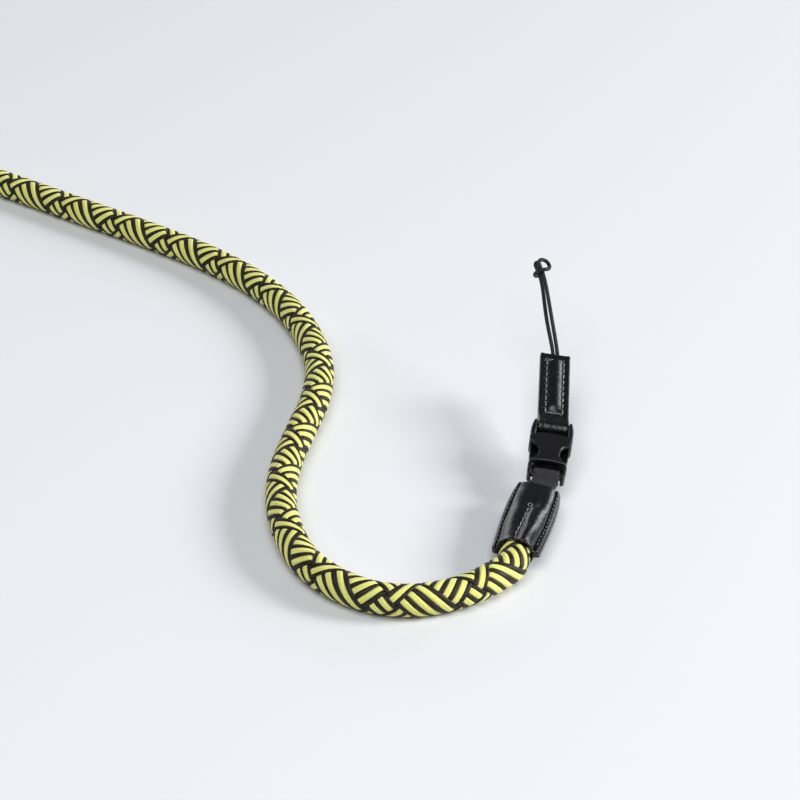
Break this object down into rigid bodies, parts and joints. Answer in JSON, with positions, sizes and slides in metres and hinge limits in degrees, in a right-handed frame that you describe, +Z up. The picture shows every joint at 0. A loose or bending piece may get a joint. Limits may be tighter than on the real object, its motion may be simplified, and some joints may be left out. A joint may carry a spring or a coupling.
{
  "type": "braided camera strap",
  "caption": "Round braided rope camera strap with a leather sleeve, side-release buckle, stitched leather tab and thin lug cord at each end.",
  "frame": {"origin": "eye of the near lug cord, where its loop hangs on a camera's ring wire", "axes": "+Z up, +Y from the near fittings towards that ring, +X to the right along the strap's longest reach; the rope lies on a surface at z = -0.037 m"},
  "size_m": [0.4322, 0.2967, 0.0396],
  "materials": {
    "leather": "smooth glossy black leather with a fine grain",
    "buckle_plastic": "satin moulded black",
    "webbing": "ribbed black woven nylon",
    "lug_cord": "fine black braided cord",
    "rope_braid": "neon yellow and black round braid"
  },
  "bodies": {
    "root": {"lug_cord": "lug_cord", "leather_tab": "leather", "buckle_socket": "buckle_plastic", "buckle_plug": "buckle_plastic", "web_link": "webbing", "rope_sleeve": "leather", "rope": "rope_braid", "far_rope_sleeve": "leather", "far_web_link": "webbing", "far_buckle": "buckle_plastic", "far_leather_tab": "leather", "far_lug_cord": "lug_cord"}
  },
  "joints": []
}
